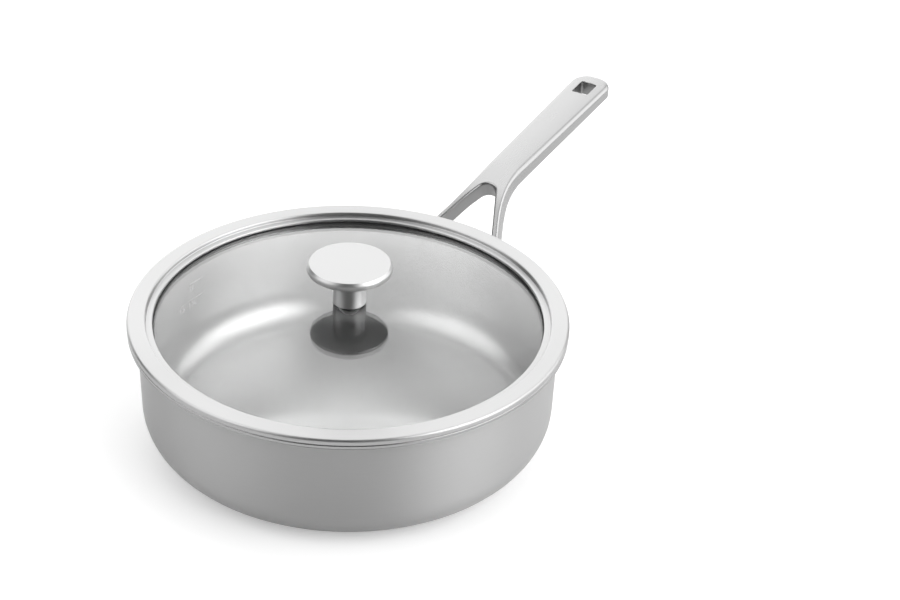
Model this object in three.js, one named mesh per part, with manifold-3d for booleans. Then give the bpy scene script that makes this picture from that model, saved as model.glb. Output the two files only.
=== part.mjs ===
// Low straight-sided clad pan with one long forked handle and a domed glass lid.
// Millimetres, +Z up. The origin is the centre of the base, on the surface that the pan stands on,
// and the handle points along +X.
import * as THREE from 'three';
import { mergeVertices } from 'three/addons/utils/BufferGeometryUtils.js';
import Module from 'manifold-3d';

const wasm = await Module();
wasm.setup();

// Pan body: three bonded sheets drawn together into one open vessel
const PAN_OUTER_RADIUS = 122.5; // outside of the wall just under the lip
const WALL_DRAFT = 1.0; // how much narrower the wall is at its foot
const PAN_RIM_HEIGHT = 74.2; // top of the lip above the base
const BOTTOM_CORNER_RADIUS = 23;
const LIP_REACH = 5.5; // how far the flared lip stands out from the wall
const LIP_BEND_RADIUS = 1.2; // outside bend between wall and lip
const OUTER_PLY = 0.5; // magnetic steel
const CORE_PLY = 1.4; // aluminium
const INNER_PLY = 0.5; // stainless steel
const BOND_LINE = 0.1; // space left between two bonded sheets
const CORE_SETBACK = 1.2; // the core stops this far inside the sealed edge of the lip

// Handle: one casting, a flat bar whose pan end splits into two arms
const HANDLE_LENGTH = 200.5; // from the pan's wall to the tip
const HANDLE_THICKNESS = 9.6;
const GRIP_WAIST_HALF_WIDTH = 11.3; // narrowest, beside the fork
const GRIP_TIP_HALF_WIDTH = 13.4; // widest, at the tip
const GRIP_TIP_CORNER = 10;
const GRIP_TILT = 4.3; // degrees above level
const ARM_TILT = 36.5; // degrees above level
const ARM_RUN = 53.7; // level distance from the wall to where the two slopes would meet
const BEND_RADIUS = 94; // top of the curve between arms and grip
const FOOT_DROP = 25; // from the lip's top down to the top of the arms at the wall
const FOOT_HALF_SPREAD = 32.4; // half the distance between the arms' middles at the wall
const ARM_SPLAY = 25.6; // degrees that each arm turns away from the grip's line
const ARM_WIDTH = 5.0;
const FLARE_RADIUS = 87; // outside curve from grip to arm
const OPENING_TILT = 27; // degrees, the slope that the fork's opening is cut square to
const CROTCH_RADIUS = 7.1; // inside curve between the arms, on that slope
const HANGING_HOLE_LENGTH = 15.2;
const HANGING_HOLE_WIDTH = 12;
const HANGING_HOLE_CORNER = 1.2;
const HANGING_HOLE_MARGIN = 9; // metal left between the hole and the tip

// Lid: domed glass held by a gasket between two formed steel rings
const LID_OVERHANG = 0.2; // band outside the lip
const SKIRT_CLEARANCE = 0.9; // between the skirt and the pan's inner wall
const RIM_SHEET = 0.7;
const SKIRT_SHEET = 0.6;
const SKIRT_SHELF = 4.2; // width of the turned-in shelf under the glass
const HEM_GAP = 0.4; // dark line between band and lip
const BAND_HEIGHT = 3.4; // hem of the band
const BAND_CORNER = 1.7;
const STEP_DEPTH = 3.0; // from the flange down to the inner ledge
const LEDGE_WIDTH = 3.9;
const LEDGE_EDGE = 0.7; // turned-down inner edge, below the ledge's sheet
const GASKET_LIP = 0.45; // rubber between the ledge's edge and the glass
const GASKET_WALL = 1.2;
const GASKET_SHELF = 0.8; // rubber under the glass
const GLASS_THICKNESS = 4;
const GLASS_RISE = 12.65; // dome height over the ledge's inner edge

// Knob: disc on a stem, drawn down on the glass by a screw from below
const STEM_RADIUS = 9.75;
const STEM_LENGTH = 20.2;
const CAP_RADIUS = 24.8;
const CAP_TOP_ROUND = 2.2;
const CAP_EDGE = 0.5; // upright land between the two rounds
const CAP_UNDER_ROUND = 2.3;
const UPPER_SEAL_RADIUS = 8.6;
const UPPER_SEAL_THICKNESS = 0.4;
const LOWER_SEAL_RADIUS = 5.6;
const LOWER_SEAL_THICKNESS = 1.2;
const WASHER_RADIUS = 6.3;
const WASHER_THICKNESS = 1;
const SCREW_RADIUS = 2.5;
const SCREW_GRIP = 10; // thread engaged in the stem
const SCREW_HEAD_RADIUS = 4.7;
const SCREW_HEAD_HEIGHT = 2.6;
const SCREW_RECESS_WIDTH = 1.1;
const SCREW_RECESS_LENGTH = 5;
const SCREW_RECESS_DEPTH = 1.3;
const BUSH_WALL = 0.9;

// Fits
const FIT_GAP = 0.3; // between pieces that seat on each other
const SEAT_GAP = 0.1; // between flat faces clamped together
const RUBBER_GAP = 0.15; // between rubber and what it grips

// Smoothness of round pieces
const RING_SEGMENTS = 48;
const KNOB_SEGMENTS = 32;
const DOME_RINGS = 5;
const SECTION_STEP = 22.5; // degrees, on the sections of round pieces
const CHORD_ERROR = 0.06; // on the outlines of the handle
const CUT_THROUGH = 3; // how many times over a cutter reaches past what it cuts

// Sizes that follow from those above
const wallThickness = OUTER_PLY + CORE_PLY + INNER_PLY + 2 * BOND_LINE;
const lipRadius = PAN_OUTER_RADIUS + LIP_REACH;
const panInnerRadius = PAN_OUTER_RADIUS - wallThickness;
const skirtOuter = panInnerRadius - SKIRT_CLEARANCE;
const skirtInner = skirtOuter - SKIRT_SHEET;
const stepOuter = skirtInner - FIT_GAP;
const stepInner = stepOuter - RIM_SHEET;
const ledgeInner = stepInner - LEDGE_WIDTH;
const bandOuter = lipRadius + LID_OVERHANG;
const bandInner = bandOuter - RIM_SHEET;
const hemBottom = PAN_RIM_HEIGHT + HEM_GAP;
const flangeTop = hemBottom + BAND_HEIGHT;
const ledgeTop = flangeTop - STEP_DEPTH;
const ledgeBottom = ledgeTop - RIM_SHEET;
const ledgeEdgeBottom = ledgeBottom - LEDGE_EDGE;
const plateBottom = PAN_RIM_HEIGHT + FIT_GAP;

// Glass dome: a spherical cap whose height is set where the ledge's edge presses on it
const gasketTop = ledgeEdgeBottom - FIT_GAP;
const glassEdgeTop = gasketTop - GASKET_LIP - RUBBER_GAP;
const domeRadius = (ledgeInner ** 2 + GLASS_RISE ** 2) / (2 * GLASS_RISE);
const domeCentre = glassEdgeTop + GLASS_RISE - domeRadius;
const gasketOuter = skirtInner - FIT_GAP;
const gasketInner = gasketOuter - GASKET_WALL;
const glassRadius = gasketInner - RUBBER_GAP;
const crownTop = domeCentre + domeRadius;
const gasketMouth = ledgeInner + FIT_GAP;
const glassTopAt = (r) => domeCentre + Math.sqrt(domeRadius ** 2 - r ** 2);
const glassBottomAt = (r) => domeCentre + Math.sqrt((domeRadius - GLASS_THICKNESS) ** 2 - r ** 2);
const gasketBottom = glassBottomAt(gasketInner) - RUBBER_GAP - GASKET_SHELF;
const shelfTop = gasketBottom - FIT_GAP;
const shelfBottom = shelfTop - SKIRT_SHEET;

// Knob stack, from the crown of the glass up and down
const upperSealBottom = crownTop + SEAT_GAP;
const upperSealTop = upperSealBottom + UPPER_SEAL_THICKNESS;
const stemBottom = upperSealTop + SEAT_GAP;
const stemTop = stemBottom + STEM_LENGTH;
const capBottom = stemTop + SEAT_GAP;
const capTop = capBottom + CAP_UNDER_ROUND + CAP_EDGE + CAP_TOP_ROUND;
const lowerSealTop = glassBottomAt(LOWER_SEAL_RADIUS) - SEAT_GAP;
const lowerSealBottom = lowerSealTop - LOWER_SEAL_THICKNESS;
const washerTop = lowerSealBottom - SEAT_GAP;
const washerBottom = washerTop - WASHER_THICKNESS;
const screwSeat = washerBottom - SEAT_GAP;
const screwTip = stemBottom + SCREW_GRIP;
const screwHoleRadius = SCREW_RADIUS + FIT_GAP;
const bushRadius = screwHoleRadius + BUSH_WALL;
const glassHoleRadius = bushRadius + FIT_GAP;

const polar = (cx, cy, r, degrees) => {
  const a = THREE.MathUtils.degToRad(degrees);
  return new THREE.Vector2(cx + r * Math.cos(a), cy + r * Math.sin(a));
};

// Points of an arc about (cx, cy), both ends included
function arc(cx, cy, r, from, to) {
  const steps = Math.max(1, Math.ceil(Math.abs(to - from) / SECTION_STEP));
  return Array.from({ length: steps + 1 }, (_, i) => polar(cx, cy, r, from + ((to - from) * i) / steps));
}

const at = (x, y) => new THREE.Vector2(x, y);

// A solid of revolution about +Z. The section runs anticlockwise, seen with the radius to the right.
function turned(section, segments) {
  return new THREE.LatheGeometry(section, segments).rotateX(Math.PI / 2);
}

// A ring whose section closes on itself
const ring = (section, segments = RING_SEGMENTS) => turned([...section, section[0]], segments);

// A plain washer round the knob's screw
function screwWasher(radius, bottom, top) {
  const bore = screwHoleRadius;
  return ring([at(bore, bottom), at(radius, bottom), at(radius, top), at(bore, top)], KNOB_SEGMENTS);
}

// A closed outline whose corners are rounded by their own radius, within what their sides allow
function roundedOutline(corners) {
  const points = [];
  corners.forEach(({ p, r = 0 }, i) => {
    const before = corners[(i + corners.length - 1) % corners.length].p;
    const after = corners[(i + 1) % corners.length].p;
    const u = before.clone().sub(p);
    const v = after.clone().sub(p);
    const room = Math.min(u.length(), v.length()) / 2;
    u.normalize();
    v.normalize();
    const half = Math.acos(THREE.MathUtils.clamp(u.dot(v), -1, 1)) / 2;
    const radius = Math.min(r, room * Math.tan(half));
    if (radius === 0) {
      points.push(p.clone());
      return;
    }
    const centre = p.clone().addScaledVector(u.clone().add(v).normalize(), radius / Math.sin(half));
    const reach = radius / Math.tan(half);
    const start = p.clone().addScaledVector(u, reach).sub(centre).angle();
    const turn = p.clone().addScaledVector(v, reach).sub(centre).angle() - start;
    const sweep = THREE.MathUtils.radToDeg(Math.atan2(Math.sin(turn), Math.cos(turn)));
    const step = THREE.MathUtils.radToDeg(2 * Math.acos(1 - Math.min(1, CHORD_ERROR / radius)));
    const steps = Math.max(2, Math.ceil(Math.abs(sweep) / step));
    for (let k = 0; k <= steps; k += 1) {
      points.push(polar(centre.x, centre.y, radius, THREE.MathUtils.radToDeg(start) + (sweep * k) / steps));
    }
  });
  return new THREE.Shape(points);
}

// An outline drawn in plan and raised between two heights
function raised(shape, bottom, top) {
  const depth = top - bottom;
  return new THREE.ExtrudeGeometry(shape, { depth, bevelEnabled: false }).translate(0, 0, bottom);
}

// An outline drawn from the side, in X and Z, and widened equally to both sides
function widened(shape, width) {
  return new THREE.ExtrudeGeometry(shape, { depth: width, bevelEnabled: false })
    .rotateX(Math.PI / 2)
    .translate(0, width / 2, 0);
}

// A closed geometry as a solid for cutting and joining, without the triangles that collapse on an axis
function solid(geometry) {
  const bare = geometry.clone();
  bare.deleteAttribute('normal');
  bare.deleteAttribute('uv');
  const merged = mergeVertices(bare);
  const triangles = [];
  for (let i = 0; i < merged.index.count; i += 3) {
    const corners = [merged.index.getX(i), merged.index.getX(i + 1), merged.index.getX(i + 2)];
    if (new Set(corners).size === 3) {
      triangles.push(...corners);
    }
  }
  return new wasm.Manifold(
    new wasm.Mesh({
      numProp: 3,
      vertProperties: merged.getAttribute('position').array,
      triVerts: new Uint32Array(triangles),
    }),
  );
}

// A cut or joined solid as a geometry
function geometryOf(body) {
  const { numProp, vertProperties, triVerts } = body.getMesh();
  const points = new Float32Array((vertProperties.length / numProp) * 3);
  for (let i = 0; i < points.length / 3; i += 1) {
    points.set(vertProperties.subarray(i * numProp, i * numProp + 3), i * 3);
  }
  const geometry = new THREE.BufferGeometry();
  geometry.setAttribute('position', new THREE.BufferAttribute(points, 3));
  geometry.setIndex(new THREE.BufferAttribute(new Uint32Array(triVerts), 1));
  geometry.computeVertexNormals();
  return geometry;
}

// The vessel's surface at a depth below its outside, from the middle of the base to the edge of the lip
function vesselSurface(depth, edgeRadius = lipRadius) {
  const footRadius = PAN_OUTER_RADIUS - WALL_DRAFT;
  const bendRadius = LIP_BEND_RADIUS + depth;
  const lipHeight = PAN_RIM_HEIGHT - wallThickness + depth;
  const bend = at(PAN_OUTER_RADIUS + LIP_BEND_RADIUS, lipHeight - bendRadius);
  return [
    at(0, depth),
    ...arc(footRadius - BOTTOM_CORNER_RADIUS, BOTTOM_CORNER_RADIUS, BOTTOM_CORNER_RADIUS - depth, -90, 0),
    ...arc(bend.x, bend.y, bendRadius, 180, 90),
    at(edgeRadius, lipHeight),
  ];
}

// One sheet of the vessel between two depths
function ply(outside, inside, edgeRadius) {
  const section = [...vesselSurface(outside, edgeRadius), ...vesselSurface(inside, edgeRadius).reverse()];
  return turned(section, RING_SEGMENTS);
}

// The innermost sheet also turns down over the core's edge, which seals the lip
function innerPly() {
  const outside = wallThickness - INNER_PLY;
  const coverInner = lipRadius - CORE_SETBACK + FIT_GAP;
  const coverBottom = PAN_RIM_HEIGHT - wallThickness + OUTER_PLY + BOND_LINE;
  const section = [
    ...vesselSurface(outside, coverInner),
    at(coverInner, coverBottom),
    at(lipRadius, coverBottom),
    ...vesselSurface(wallThickness).reverse(),
  ];
  return turned(section, RING_SEGMENTS);
}

// A cut drawn on a slope: X runs up the slope from a place on it, and the cut is square to the slope
function slopedCut(shape, degrees, place, depth) {
  return raised(shape, -depth, depth)
    .rotateY(-THREE.MathUtils.degToRad(degrees))
    .translate(place.x, 0, place.y);
}

// The handle: what its plan and its side view both enclose, less the fork's opening and the hanging hole
function handle() {
  const wallX = Math.sqrt(PAN_OUTER_RADIUS ** 2 - FOOT_HALF_SPREAD ** 2);
  const tipX = PAN_OUTER_RADIUS + HANDLE_LENGTH;
  const rootX = wallX - ARM_RUN / 2;
  const armSlope = Math.tan(THREE.MathUtils.degToRad(ARM_TILT));
  const gripSlope = Math.tan(THREE.MathUtils.degToRad(GRIP_TILT));
  const splay = Math.tan(THREE.MathUtils.degToRad(ARM_SPLAY));
  const halfArm = ARM_WIDTH / 2 / Math.cos(THREE.MathUtils.degToRad(ARM_SPLAY));

  const foot = at(wallX, PAN_RIM_HEIGHT - FOOT_DROP);
  const bend = at(wallX + ARM_RUN, foot.y + armSlope * ARM_RUN);
  const onGrip = (x) => bend.y + gripSlope * (x - bend.x);
  const onArm = (x) => bend.y + armSlope * (x - bend.x);
  const armNormal = at(-armSlope, 1).normalize();
  const gripNormal = at(-gripSlope, 1).normalize();
  const drop = HANDLE_THICKNESS / (1 + armNormal.dot(gripNormal));
  const underBend = bend.clone().addScaledVector(armNormal.clone().add(gripNormal), -drop);
  const endX = tipX + HANDLE_THICKNESS;
  const side = roundedOutline([
    { p: at(rootX, onArm(rootX)) },
    { p: at(rootX, underBend.y + armSlope * (rootX - underBend.x)) },
    { p: underBend, r: BEND_RADIUS - HANDLE_THICKNESS },
    { p: at(endX, underBend.y + gripSlope * (endX - underBend.x)) },
    { p: at(endX, onGrip(endX)) },
    { p: bend, r: BEND_RADIUS },
  ]);

  const rootHalf = FOOT_HALF_SPREAD + halfArm + splay * (wallX - rootX);
  const widening = (GRIP_TIP_HALF_WIDTH - GRIP_WAIST_HALF_WIDTH) / (tipX - bend.x);
  const flareX = wallX + (FOOT_HALF_SPREAD + halfArm - GRIP_WAIST_HALF_WIDTH) / splay;
  const flareHalf = GRIP_WAIST_HALF_WIDTH + widening * (flareX - bend.x);
  const plan = roundedOutline([
    { p: at(rootX, -rootHalf) },
    { p: at(flareX, -flareHalf), r: FLARE_RADIUS },
    { p: at(tipX, -GRIP_TIP_HALF_WIDTH), r: GRIP_TIP_CORNER },
    { p: at(tipX, GRIP_TIP_HALF_WIDTH), r: GRIP_TIP_CORNER },
    { p: at(flareX, flareHalf), r: FLARE_RADIUS },
    { p: at(rootX, rootHalf) },
  ]);

  // The opening's two sides run along the arms and meet in the crotch
  const openingAngle = THREE.MathUtils.degToRad(OPENING_TILT);
  const alongOpening = Math.cos(openingAngle) + armSlope * Math.sin(openingAngle);
  const closing = splay / alongOpening;
  const mouth = FOOT_HALF_SPREAD - halfArm;
  const mouthX = (rootX - wallX) * alongOpening;
  const opening = roundedOutline([
    { p: at(mouth / closing, 0), r: CROTCH_RADIUS },
    { p: at(mouthX, mouth - closing * mouthX) },
    { p: at(mouthX, closing * mouthX - mouth) },
  ]);

  const hole = roundedOutline([
    { p: at(-HANGING_HOLE_LENGTH, -HANGING_HOLE_WIDTH / 2), r: HANGING_HOLE_CORNER },
    { p: at(0, -HANGING_HOLE_WIDTH / 2), r: HANGING_HOLE_CORNER },
    { p: at(0, HANGING_HOLE_WIDTH / 2), r: HANGING_HOLE_CORNER },
    { p: at(-HANGING_HOLE_LENGTH, HANGING_HOLE_WIDTH / 2), r: HANGING_HOLE_CORNER },
  ]);
  const holeEnd = tipX - HANGING_HOLE_MARGIN;

  const cutReach = CUT_THROUGH * HANDLE_THICKNESS;
  const top = onGrip(endX) + cutReach;
  const bottom = onArm(rootX) - cutReach;
  const wallTop = PAN_RIM_HEIGHT - wallThickness - LIP_BEND_RADIUS;
  const wallFace = (z) => {
    const share = (z - BOTTOM_CORNER_RADIUS) / (wallTop - BOTTOM_CORNER_RADIUS);
    return at(PAN_OUTER_RADIUS - WALL_DRAFT * (1 - share) + FIT_GAP, z);
  };
  const vessel = turned([at(0, bottom), wallFace(bottom), wallFace(top), at(0, top)], RING_SEGMENTS);
  const cuts = [
    slopedCut(opening, OPENING_TILT, foot, cutReach),
    slopedCut(hole, GRIP_TILT, at(holeEnd, onGrip(holeEnd)), cutReach),
    vessel,
  ];
  const bar = solid(raised(plan, bottom, top)).intersect(solid(widened(side, CUT_THROUGH * rootHalf)));
  return geometryOf(cuts.reduce((body, cut) => body.subtract(solid(cut)), bar));
}

// Upper ring: hem, wide flat flange, step and ledge, pressed from one sheet
function lidRim() {
  const innerCorner = BAND_CORNER - RIM_SHEET;
  return ring([
    at(bandInner, hemBottom),
    at(bandOuter, hemBottom),
    ...arc(bandOuter - BAND_CORNER, flangeTop - BAND_CORNER, BAND_CORNER, 0, 90),
    at(stepInner, flangeTop),
    at(stepInner, ledgeTop),
    at(ledgeInner, ledgeTop),
    at(ledgeInner, ledgeEdgeBottom),
    at(ledgeInner + RIM_SHEET, ledgeEdgeBottom),
    at(ledgeInner + RIM_SHEET, ledgeBottom),
    at(stepOuter, ledgeBottom),
    at(stepOuter, flangeTop - RIM_SHEET),
    ...arc(bandOuter - BAND_CORNER, flangeTop - BAND_CORNER, innerCorner, 90, 0),
  ]);
}

// Lower ring: the plate that rests on the lip, the skirt inside the pan and the shelf under the glass
function lidSkirt() {
  const plateOuter = bandInner - FIT_GAP;
  return ring([
    at(skirtOuter - SKIRT_SHELF, shelfBottom),
    at(skirtOuter, shelfBottom),
    at(skirtOuter, plateBottom),
    at(plateOuter, plateBottom),
    at(plateOuter, plateBottom + SKIRT_SHEET),
    at(skirtInner, plateBottom + SKIRT_SHEET),
    at(skirtInner, shelfTop),
    at(skirtOuter - SKIRT_SHELF, shelfTop),
  ]);
}

// Gasket: a rubber channel round the edge of the glass
function lidGasket() {
  return ring([
    at(gasketMouth, gasketBottom),
    at(gasketOuter, gasketBottom),
    at(gasketOuter, gasketTop),
    at(gasketMouth, gasketTop),
    at(gasketMouth, glassTopAt(gasketMouth) + RUBBER_GAP),
    at(gasketInner, glassTopAt(gasketInner) + RUBBER_GAP),
    at(gasketInner, glassBottomAt(gasketInner) - RUBBER_GAP),
    at(gasketMouth, glassBottomAt(gasketMouth) - RUBBER_GAP),
  ]);
}

// Glass: a dome of even thickness with a hole for the knob's screw and a seat for the seal under it
function lidGlass() {
  const radii = [glassHoleRadius];
  for (let i = 0; i <= DOME_RINGS; i += 1) {
    radii.push(THREE.MathUtils.lerp(LOWER_SEAL_RADIUS, glassRadius, i / DOME_RINGS));
  }
  return ring([
    ...radii.map((r) => at(r, glassBottomAt(r))),
    ...radii.map((r) => at(r, glassTopAt(r))).reverse(),
  ]);
}

// Knob disc, with a large round on its edge
function knobCap() {
  return turned(
    [
      at(0, capBottom),
      ...arc(CAP_RADIUS - CAP_UNDER_ROUND, capBottom + CAP_UNDER_ROUND, CAP_UNDER_ROUND, -90, 0),
      ...arc(CAP_RADIUS - CAP_TOP_ROUND, capTop - CAP_TOP_ROUND, CAP_TOP_ROUND, 0, 90),
      at(0, capTop),
    ],
    KNOB_SEGMENTS,
  );
}

// Knob stem with a blind hole for the screw
function knobStem() {
  const holeTop = screwTip + FIT_GAP;
  return turned(
    [
      at(0, holeTop),
      at(screwHoleRadius, holeTop),
      at(screwHoleRadius, stemBottom),
      at(STEM_RADIUS, stemBottom),
      at(STEM_RADIUS, stemTop),
      at(0, stemTop),
    ],
    KNOB_SEGMENTS,
  );
}

// Pan-head screw with a cross recess, driven from under the glass
function knobScrew() {
  const headBottom = screwSeat - SCREW_HEAD_HEIGHT;
  const headRound = SCREW_HEAD_HEIGHT / 2;
  const body = turned(
    [
      at(0, headBottom),
      ...arc(SCREW_HEAD_RADIUS - headRound, headBottom + headRound, headRound, -90, 0),
      at(SCREW_HEAD_RADIUS, screwSeat),
      at(SCREW_RADIUS, screwSeat),
      at(SCREW_RADIUS, screwTip),
      at(0, screwTip),
    ],
    KNOB_SEGMENTS,
  );
  const slot = new THREE.BoxGeometry(SCREW_RECESS_LENGTH, SCREW_RECESS_WIDTH, 2 * SCREW_RECESS_DEPTH);
  slot.translate(0, 0, headBottom);
  const crossSlot = slot.clone().rotateZ(Math.PI / 2);
  return geometryOf(solid(body).subtract(solid(slot).add(solid(crossSlot))));
}

// Finishes
const STEEL = { color: 0xb9bbbd, roughness: 0.35, metalness: 1 };
const BRIGHT_STEEL = { color: 0xcfd0d1, roughness: 0.25, metalness: 1 };
const ALUMINIUM = { color: 0xc4c7ca, roughness: 0.5, metalness: 1 };
const RUBBER = { color: 0x141414, roughness: 0.7, metalness: 0 };
const GLASS = { color: 0xe9f0ee, roughness: 0.03, metalness: 0, transparent: true, opacity: 0.3 };

function named(name, geometry, finish) {
  const mesh = new THREE.Mesh(geometry, new THREE.MeshStandardMaterial(finish));
  mesh.name = name;
  return mesh;
}

const coreOutside = OUTER_PLY + BOND_LINE;
const pan = new THREE.Group().add(
  named('pan_outer_ply', ply(0, OUTER_PLY, lipRadius), STEEL),
  named('pan_core_ply', ply(coreOutside, coreOutside + CORE_PLY, lipRadius - CORE_SETBACK), ALUMINIUM),
  named('pan_inner_ply', innerPly(), STEEL),
  named('handle', handle(), STEEL),
);

const lid = new THREE.Group().add(
  named('lid_rim', lidRim(), BRIGHT_STEEL),
  named('lid_skirt', lidSkirt(), BRIGHT_STEEL),
  named('lid_gasket', lidGasket(), RUBBER),
  named('lid_glass', lidGlass(), GLASS),
  named('knob_cap', knobCap(), BRIGHT_STEEL),
  named('knob_stem', knobStem(), BRIGHT_STEEL),
  named('knob_upper_seal', screwWasher(UPPER_SEAL_RADIUS, upperSealBottom, upperSealTop), RUBBER),
  named('knob_bush', screwWasher(bushRadius, lowerSealTop + SEAT_GAP, crownTop), RUBBER),
  named('knob_lower_seal', screwWasher(LOWER_SEAL_RADIUS, lowerSealBottom, lowerSealTop), RUBBER),
  named('knob_washer', screwWasher(WASHER_RADIUS, washerBottom, washerTop), STEEL),
  named('knob_screw', knobScrew(), STEEL),
);

const sautePan = new THREE.Group().add(pan, lid);

export default sautePan;
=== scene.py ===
"""Looks of a low saute pan with one forked handle and a domed glass lid.

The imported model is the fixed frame. Each piece is modelled in metres at its real place and rides on a
body of the frame. All but the measuring scale stand for one node each. Round pieces are sections turned
about the pan's axis. The handle's plan is drawn flat, thickened and rounded, and then bent.
"""

import logging
import math
from dataclasses import dataclass, field
from enum import Enum
from itertools import pairwise
from typing import Callable, NamedTuple, Sequence

import bmesh
import bpy
from mathutils import Matrix, Vector


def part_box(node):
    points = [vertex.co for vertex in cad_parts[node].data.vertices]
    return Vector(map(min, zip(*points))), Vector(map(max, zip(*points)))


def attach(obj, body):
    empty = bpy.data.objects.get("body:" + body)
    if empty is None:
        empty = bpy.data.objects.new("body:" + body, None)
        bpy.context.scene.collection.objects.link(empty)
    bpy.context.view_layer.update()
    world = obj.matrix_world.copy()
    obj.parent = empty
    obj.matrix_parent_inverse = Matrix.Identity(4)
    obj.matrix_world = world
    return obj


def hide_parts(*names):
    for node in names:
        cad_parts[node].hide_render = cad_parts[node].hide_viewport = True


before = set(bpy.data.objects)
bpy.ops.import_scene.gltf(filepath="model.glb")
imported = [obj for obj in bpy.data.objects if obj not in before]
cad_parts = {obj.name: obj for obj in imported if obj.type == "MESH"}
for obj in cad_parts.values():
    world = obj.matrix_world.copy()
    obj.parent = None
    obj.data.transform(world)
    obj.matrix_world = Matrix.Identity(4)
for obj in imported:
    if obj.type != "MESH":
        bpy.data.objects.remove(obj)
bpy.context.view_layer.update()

LOG = logging.getLogger("saute_pan")
MM = 0.001
# How far the glass, and all of the knob but its disc, sit below the frame's
GLASS_SETTLE = 0.5 * MM
WHITE = (1.0, 1.0, 1.0, 1.0)
Inputs = dict[str | int, object]


class Brushing(Enum):
    """The way that a steel surface was brushed."""

    ROUND = "round the pan's axis"
    ALONG = "along the handle"


class Element(Enum):
    """The kinds of mesh element that can be selected."""

    POINT = "VERT"
    EDGE = "EDGE"
    FACE = "FACE"


class Corner(NamedTuple):
    """A corner of a section or outline: its two coordinates and the radius that rounds it."""

    x: float
    y: float
    round: float = 0.0


def grey(level: float) -> tuple[float, float, float, float]:
    """A neutral colour of one level."""
    return level, level, level, 1.0


def share(value: float) -> float:
    """A value held between none and all."""
    return min(1.0, max(0.0, value))


def rounded(corners: Sequence[Corner], step: float = 9.0, least_turn: float = 1e-4) -> list[Vector]:
    """Turns corners into points, with an arc at each corner that has a radius.

    Args:
        corners: The corners of an open line, in order.
        step: The largest angle between two points of an arc, in degrees.
        least_turn: A corner that turns by less than this, in radians, stays a point.

    Returns:
        The line's points, as two-dimensional vectors.
    """
    points = [Vector(corners[0][:2])]
    for before, corner, after in zip(corners, corners[1:], corners[2:]):
        place = Vector(corner[:2])
        u = Vector(before[:2]) - place
        v = Vector(after[:2]) - place
        turn = math.pi - u.angle(v)
        if corner.round <= 0.0 or turn < least_turn:
            points.append(place)
            continue
        u.normalize()
        v.normalize()
        reach = corner.round * math.tan(turn / 2)
        centre = place + (u + v).normalized() * (corner.round / math.cos(turn / 2))
        start = place + u * reach - centre
        sense = 1.0 if u.cross(v) < 0 else -1.0
        count = max(2, math.ceil(math.degrees(turn) / step))
        for i in range(count + 1):
            points.append(centre + Matrix.Rotation(sense * turn * i / count, 2) @ start)
    points.append(Vector(corners[-1][:2]))
    return points


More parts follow.
